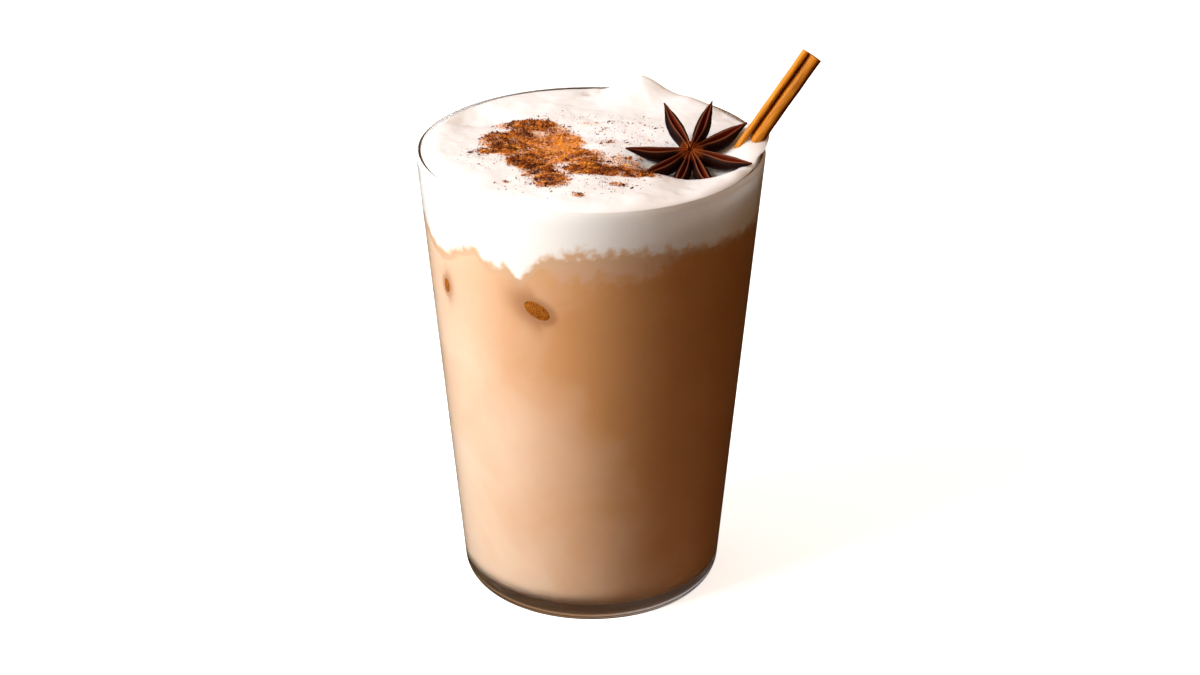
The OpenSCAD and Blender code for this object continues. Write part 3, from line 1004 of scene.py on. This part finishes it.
class CHAI_OT_quill(Operator):
    """Rolls the cinnamon quill that leans out over the rim"""

    bl_idname = "chai.quill"
    bl_label = "Cinnamon quill"

    def execute(self, context):
        settings = context.scene.chai_quill
        foot, axes, tall, half_w = quill_frame()
        small, large = [(half_w + ROLL_PRESS) * share for share in (settings.small, 1 - settings.small)]
        left = curl(small, SMALL_SWEEP, -1, half_w, settings)[::-1]
        line = np.vstack([left, curl(large, LARGE_SWEEP, 1, half_w, settings)[1:]])
        step = np.gradient(line, axis=0)
        normal = np.stack([-step[:, 1], step[:, 0]], 1) / np.linalg.norm(step, axis=1)[:, None]
        count = len(line)
        loop = 2 * count
        local = np.empty((STATIONS, loop, 3))
        for ring, z in zip(local, np.linspace(0, tall, STATIONS)):
            half_thick = settings.bark * (0.5 + 0.06 * noise.noise(Vector((0, 0, z / (4 * MM)))))
            wander = [0.05 * MM * noise.noise(Vector((3, k / 9, z / (3 * MM)))) for k in range(count)]
            centre = line + normal * np.array(wander)[:, None]
            ring[:, :2] = np.vstack([centre + normal * half_thick, (centre - normal * half_thick)[::-1]])
            ring[:, 2] = z
        bark = rough(local * np.array([1, 1, 0.2]), 0.8 * MM, 3, seed=6) * 0.05 * MM
        local[..., :2] += np.vstack([normal, -normal[::-1]]) * bark[..., None]
        faces = []
        for first in range(0, (STATIONS - 1) * loop, loop):
            for i in range(loop):
                j = (i + 1) % loop
                faces.append((first + i, first + j, first + loop + j, first + loop + i))
        last = (STATIONS - 1) * loop
        for i in range(count - 1):
            faces.append((i + 1, i, loop - 1 - i, loop - 2 - i))
            faces.append((last + i, last + i + 1, last + loop - 2 - i, last + loop - 1 - i))
        # Painted shade: the bark is drawn darker in the groove between the rolls and on the side away from
        # the key light; it is also darker inside the rolls
        seam = 2 * small - half_w
        deep = 0.05 * bell((local[..., 0] - seam) / (0.25 * MM))
        deep += 0.34 * smooth((local[..., 0] / half_w - 0.25) / 0.5)
        deep[:, count:] += 0.08
        marks = {"grain": local.reshape(-1, 3), "deep": deep.ravel()}
        points = local.reshape(-1, 3) @ axes + foot
        quill = new_piece("cinnamon_quill", points, faces, marks, cinnamon_bark(settings), sharp=50)
        weld(quill)
        dress(quill, "cinnamon_stick")
        return {"FINISHED"}


# ------------------------------------------------------------------ star anise


# Each arm: direction in the star's face, and its length and width as shares
ARMS = [(-21, 0.99, 1.02), (30, 1.01, 1.12), (70, 1.02, 0.95), (113, 1, 1), (182, 1, 0.92),
        (218, 0.96, 0.95), (254, 0.97, 0.9), (290, 0.96, 0.95)]
# Width of an arm's tip
TIP = 0.5 * MM
# The hub where the arms meet: its sides, its radius, its profile in shares of the radius and of the
# arms' depth, and how much of lip, slit and root it is
HUB_SIDES = 32
HUB_R = 4.2 * MM
HUB = [(0, -0.93), (0.4, -0.95), (0.62, -0.8), (0.75, -0.4), (0.72, -0.12), (0.5, -0.05), (0.26, -0.1),
       (0.1, -0.25), (0, -0.28)]
HUB_MARKS = (0, 0.3, 0.25)
# Cross-section of an arm from its slit down its left wall to its keel: across and down as shares of
# the half width and the depth, then how much of lip and of slit each point is
SECTION = [
    (0.0, 0.42, 0, 1), (0.16, 0.3, 0, 1), (0.28, 0.1, 0.1, 1), (0.37, -0.01, 0.9, 0.3), (0.44, 0.0, 0.7, 0),
    (0.56, 0.06, 0.05, 0), (0.8, 0.16, 0, 0), (0.97, 0.33, 0, 0), (0.98, 0.45, 0, 0), (0.84, 0.64, 0, 0),
    (0.58, 0.82, 0, 0), (0.28, 0.95, 0, 0)]


def arm_half_width(t, width):
    """Half width of an arm at a share of its length, widest a little past its middle."""
    full = np.sin(math.pi * t ** 1.1) ** 1.4
    root = 0.25 * (1 - t)
    return TIP / 2 + (width - TIP) / 2 * (root + (1 - root) * full)


def arm_section():
    """A smooth curve through an arm's whole section, with 4 points for each of its corners."""
    mirrored = [(-across, down, lip, slit) for across, down, lip, slit in SECTION[:0:-1]]
    section = np.array([*SECTION, (0, 1, 0, 0), *mirrored])
    around = np.arange(len(section) * 4) / 4
    base = around.astype(int)
    part = (around - base)[:, None]
    before, here, after, beyond = (section[(base + k) % len(section)] for k in (-1, 0, 1, 2))
    square = 2 * before - 5 * here + 4 * after - beyond
    cube = 3 * here - before - 3 * after + beyond
    return 0.5 * (2 * here + (after - before) * part + square * part ** 2 + cube * part ** 3)


def arm_points(long, width, depth, seed):
    """Rings of points of one arm along +X with its slit up, and how much of lip, slit and root each is."""
    across, down, lip, slit = arm_section().T
    t = np.concatenate([np.linspace(0.05, 0.9, 44), np.linspace(0.915, 1, 8)])[:, None]
    deep = TIP + (depth - TIP) * (1 - t ** 2.2) * (0.78 + 0.22 * np.sin(math.pi * t))
    open_slit = np.sin(math.pi * np.clip(t * 0.98 + 0.02, 0, 1)) ** 0.6
    z = 0.9 * MM * t ** 3 - np.where(slit > 0.15, down * open_slit, down) * deep
    points = np.stack(np.broadcast_arrays(t * long, across * arm_half_width(t, width), z), -1)
    wall = np.clip((down - 0.04) / 0.2, 0, 1) * (slit < 0.3)
    wrinkle = rough(points * np.array([0.35, 1, 1]), 1.5 * MM, 3, seed=seed) * 0.16 * MM * wall
    points[..., 1] += np.sign(points[..., 1]) * wrinkle
    points[..., 1] += 0.5 * MM * np.sin(2.2 * math.pi * t + seed) * t * (1 - t)
    root = 0.8 * (1 - smooth((t - 0.04) / 0.22))
    marks = (np.clip(lip, 0, 1), np.clip(slit, 0, 1), root)
    return points, [np.broadcast_to(mark, points.shape[:2]) for mark in marks]


def star_anise_husk(settings):
    """Dried star anise fruit: woody, finely wrinkled husk, very dark brown with a faint waxy gloss,
    lighter reddish lips along the open slits and orange-brown roots at the middle."""
    material, add = new_material("star_anise_husk")
    place = add("TexCoord").outputs["Object"]
    wrinkle = add("TexNoise", {"Vector": place, "Scale": 1 / (0.9 * MM), "Detail": 5.0, "Roughness": 0.6})
    colour = add("ValToRGB", {"Fac": wrinkle}, stops=[
        (0.3, tuple(0.45 * c for c in settings.husk)), (0.72, settings.husk)])
    for key in ("slit", "lip", "root"):
        share = add("Attribute", attribute_name=key).outputs["Fac"]
        colour = add("Mix", {"Factor": share, 6: colour, 7: getattr(settings, key)}, data_type="RGBA")
    bump = add("Bump", {"Height": wrinkle, "Strength": 0.4, "Distance": 0.15 * MM})
    shader = add("BsdfPrincipled", {
        "Base Color": colour, "Roughness": 0.5, "Specular IOR Level": 0.05, "Normal": bump})
    add("OutputMaterial", {"Surface": shader})
    return material


class CHAI_OT_star(Operator):
    """Sets the star anise, with its eight open arms, into the foam"""

    bl_idname = "chai.star"
    bl_label = "Star anise"

    def execute(self, context):
        settings = context.scene.chai_star
        parts = []
        for seed, (az, long, wide) in enumerate(ARMS):
            arm, marks = arm_points(settings.arm * long, settings.width * wide, settings.depth, seed)
            arm[..., 0], arm[..., 1] = rotated(arm[..., 0], arm[..., 1], math.radians(az))
            parts.append((arm, (arm[0].mean(0), arm[-1].mean(0)), marks, -1))
        r, z = np.array(HUB).T * np.array([[HUB_R], [settings.depth]])
        hub = round_points(r[1:-1, None], azimuths(HUB_SIDES), z[1:-1, None])
        marks = [np.full(hub.shape[:2], mark) for mark in HUB_MARKS]
        parts.append((hub, ((0, 0, z[0]), (0, 0, z[-1])), marks, 1))
        points, faces, values = [], [], []
        for rings, ends, marks, order in parts:
            first = sum(len(p) for p in points)
            points.append(np.vstack([ends[0], rings.reshape(-1, 3), ends[1]]))
            faces += [tuple(first + v for v in face[::order]) for face in ring_faces(*rings.shape[:2])]
            values.append([np.concatenate([[m[0, 0]], m.ravel(), [m[-1, 0]]]) for m in marks])
        x, y, z = np.vstack(points).T
        tilted = np.stack([x, *rotated(y, z, settings.tilt)], 1)
        tilted += np.array(STAR_MIDDLE) - (tilted.min(0) + tilted.max(0)) / 2
        marks = dict(zip(("lip", "slit", "root"), np.concatenate(values, axis=1)))
        star = new_piece("star_anise_pod", tilted, faces, marks, star_anise_husk(settings), sharp=60)
        dress(star, "star_anise")
        return {"FINISHED"}


# ------------------------------------------------------------------ stage


# Half width of the floor in metres, the point the camera looks at and the way to the window
FLOOR_HALF = 6
CAMERA_AIM = (2.2 * MM, 0, 64.9 * MM)
TO_WINDOW = (-0.86, 0.2, 0.47)


def light_table(colour):
    """A pale opal acrylic table top, lit softly from beneath: even and matt, with a faint mottle."""
    material, add = new_material("opal_acrylic_table")
    place = add("TexCoord").outputs["Object"]
    mottle = add("TexNoise", {"Vector": place, "Scale": 1 / (60 * MM), "Detail": 2.0})
    shade = add("ValToRGB", {"Fac": mottle}, stops=[
        (0.2, tuple(0.97 * c for c in colour)), (0.8, colour)])
    shader = add("BsdfPrincipled", {
        "Base Color": shade, "Roughness": 0.9, "Specular IOR Level": 0.0, "Emission Color": shade,
        "Emission Strength": 0.85})
    add("OutputMaterial", {"Surface": shader})
    return material


def soft_box(name, az, elevation, distance, size, watts, colour):
    """An area light that looks at the glass from a direction, in degrees."""
    data = bpy.data.lights.new(name, "AREA")
    data.shape = "RECTANGLE"
    data.size, data.size_y = size
    data.energy = watts
    data.color = colour
    light = bpy.data.objects.new(name, data)
    bpy.context.scene.collection.objects.link(light)
    aim = Vector((0, 0, 0.6 * GLASS.height))
    flat, up = math.cos(math.radians(elevation)), math.sin(math.radians(elevation))
    way = Vector(round_points(flat, az, up))
    light.location = aim + way * distance
    light.rotation_euler = way.to_track_quat("Z", "Y").to_euler()


def half_lit_room(settings):
    """A world that is pale towards the window side and dim and warm away from it and below."""
    world = bpy.data.worlds.new("half_lit_room")
    world.use_nodes = True
    tree = world.node_tree
    add = functools.partial(add_node, tree)
    way = add("TexCoord").outputs["Generated"]
    parts = add("SeparateXYZ", {"Vector": way})
    toward = add("VectorMath", {0: way, 1: TO_WINDOW}, operation="DOT_PRODUCT")
    side = add("ValToRGB", {"Fac": toward}, stops=[
        (0.0, settings.room), (0.35, settings.room), (0.9, settings.window)])
    above = add("MapRange", {
        "Value": parts.outputs["Z"], "From Min": -0.35, "From Max": 0.05, "To Min": 0.06, "To Max": 1.0})
    background = tree.nodes["Background"]
    tree.links.new(side.outputs["Color"], background.inputs["Color"])
    tree.links.new(above.outputs[0], background.inputs["Strength"])
    return world


class CHAI_OT_stage(Operator):
    """Sets the pale floor, the soft lights, the dim warm room and the camera"""

    bl_idname = "chai.stage"
    bl_label = "Stage"

    def execute(self, context):
        settings = context.scene.chai_studio
        corners = [(x * FLOOR_HALF, y * FLOOR_HALF, 0) for x, y in ((-1, -1), (1, -1), (1, 1), (-1, 1))]
        floor = new_piece("floor", corners, [(0, 1, 2, 3)], material=light_table(settings.floor))
        # The table doesn't light the glass or show in it, so that its shaded side stays dark
        floor.visible_diffuse = floor.visible_glossy = floor.visible_transmission = False
        soft_box("key_light", az=208, elevation=38, distance=0.75, size=(0.36, 0.36), watts=settings.key,
                 colour=(1, 0.985, 0.965))
        soft_box("back_light", az=130, elevation=50, distance=0.8, size=(0.5, 0.4), watts=settings.back,
                 colour=(0.95, 0.97, 1))
        context.scene.world = half_lit_room(settings)
        context.scene.view_settings.view_transform = "Standard"
        data = bpy.data.cameras.new("camera")
        data.lens, data.sensor_width = 90, 36
        data.clip_start, data.clip_end = 0.01, 30
        camera = bpy.data.objects.new("camera", data)
        context.scene.collection.objects.link(camera)
        away = Vector((0, -math.cos(settings.elevation), math.sin(settings.elevation)))
        camera.location = Vector(CAMERA_AIM) + away * settings.distance
        camera.rotation_euler = away.to_track_quat("Z", "Y").to_euler()
        context.scene.camera = camera
        return {"FINISHED"}


# ------------------------------------------------------------------ panel and registration


MAKERS = (CHAI_OT_tumbler, CHAI_OT_tea, CHAI_OT_ice, CHAI_OT_foam, CHAI_OT_powder, CHAI_OT_quill,
          CHAI_OT_star, CHAI_OT_stage)


class CHAI_PT_glass(Panel):
    """The pieces of the glass of chai, each with its button"""

    bl_label = "Masala Chai"
    bl_idname = "CHAI_PT_glass"
    bl_space_type = "VIEW_3D"
    bl_region_type = "UI"
    bl_category = "Chai"

    def draw(self, context):
        for maker in MAKERS:
            self.layout.operator(maker.bl_idname)
        for name, group in SETTINGS.items():
            box = self.layout.box()
            for key in group.__annotations__:
                box.prop(getattr(context.scene, name), key)


CLASSES = (*SETTINGS.values(), *MAKERS, CHAI_PT_glass)


def register():
    for cls in CLASSES:
        bpy.utils.register_class(cls)
    for name, group in SETTINGS.items():
        setattr(bpy.types.Scene, name, PointerProperty(type=group))


def unregister():
    for name in SETTINGS:
        delattr(bpy.types.Scene, name)
    for cls in reversed(CLASSES):
        bpy.utils.unregister_class(cls)


def main():
    """Makes every piece in order."""
    register()
    for maker in MAKERS:
        group, call = maker.bl_idname.split(".")
        getattr(getattr(bpy.ops, group), call)()


if __name__ == "__main__":
    main()
